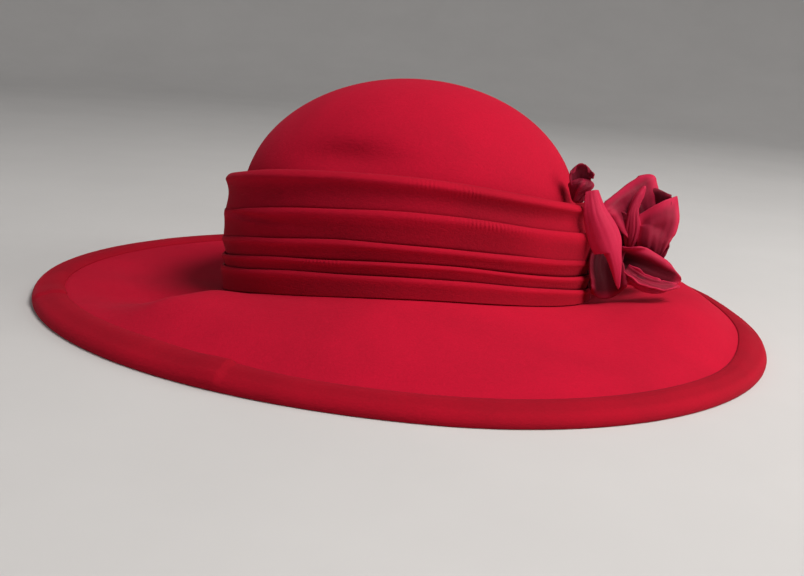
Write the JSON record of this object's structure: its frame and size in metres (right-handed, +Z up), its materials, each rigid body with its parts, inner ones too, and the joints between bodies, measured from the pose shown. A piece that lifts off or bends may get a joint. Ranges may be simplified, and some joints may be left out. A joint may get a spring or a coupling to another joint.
{
  "type": "wide-brim felt dress hat with a cloche crown",
  "caption": "Wide-brim wool-felt hat: round crown, drooping brim with a folded binding, draped pleated band, and a fabric rose on a twisted neck at the back.",
  "frame": {"origin": "under the middle of the brim, on the plane that the brim's edge rests on", "axes": "+X towards the back of the hat, where the rose sits, -Y towards the side that dips, +Z up"},
  "size_m": [0.426, 0.3574, 0.1345],
  "materials": {
    "felt": "matt red wool felt with a short nap",
    "binding": "matt red felt strip folded over the edge",
    "drape": "soft red felt draped in folds",
    "satin": "dark rose cloth with a soft sheen"
  },
  "bodies": {
    "root": {"felt_body": "felt", "edge_binding": "binding", "draped_band": "drape", "rose_calyx": "satin", "rose_back_petal": "satin", "rose_core": "satin", "rose_inner_petal": "satin", "rose_cup_petal": "satin", "rose_mouth_petal": "satin", "rose_hollow_petal": "satin", "rose_far_petal": "satin", "rose_low_far_petal": "satin", "rose_drooping_petal": "satin", "rose_bud": "satin", "rose_neck": "satin"}
  },
  "joints": []
}
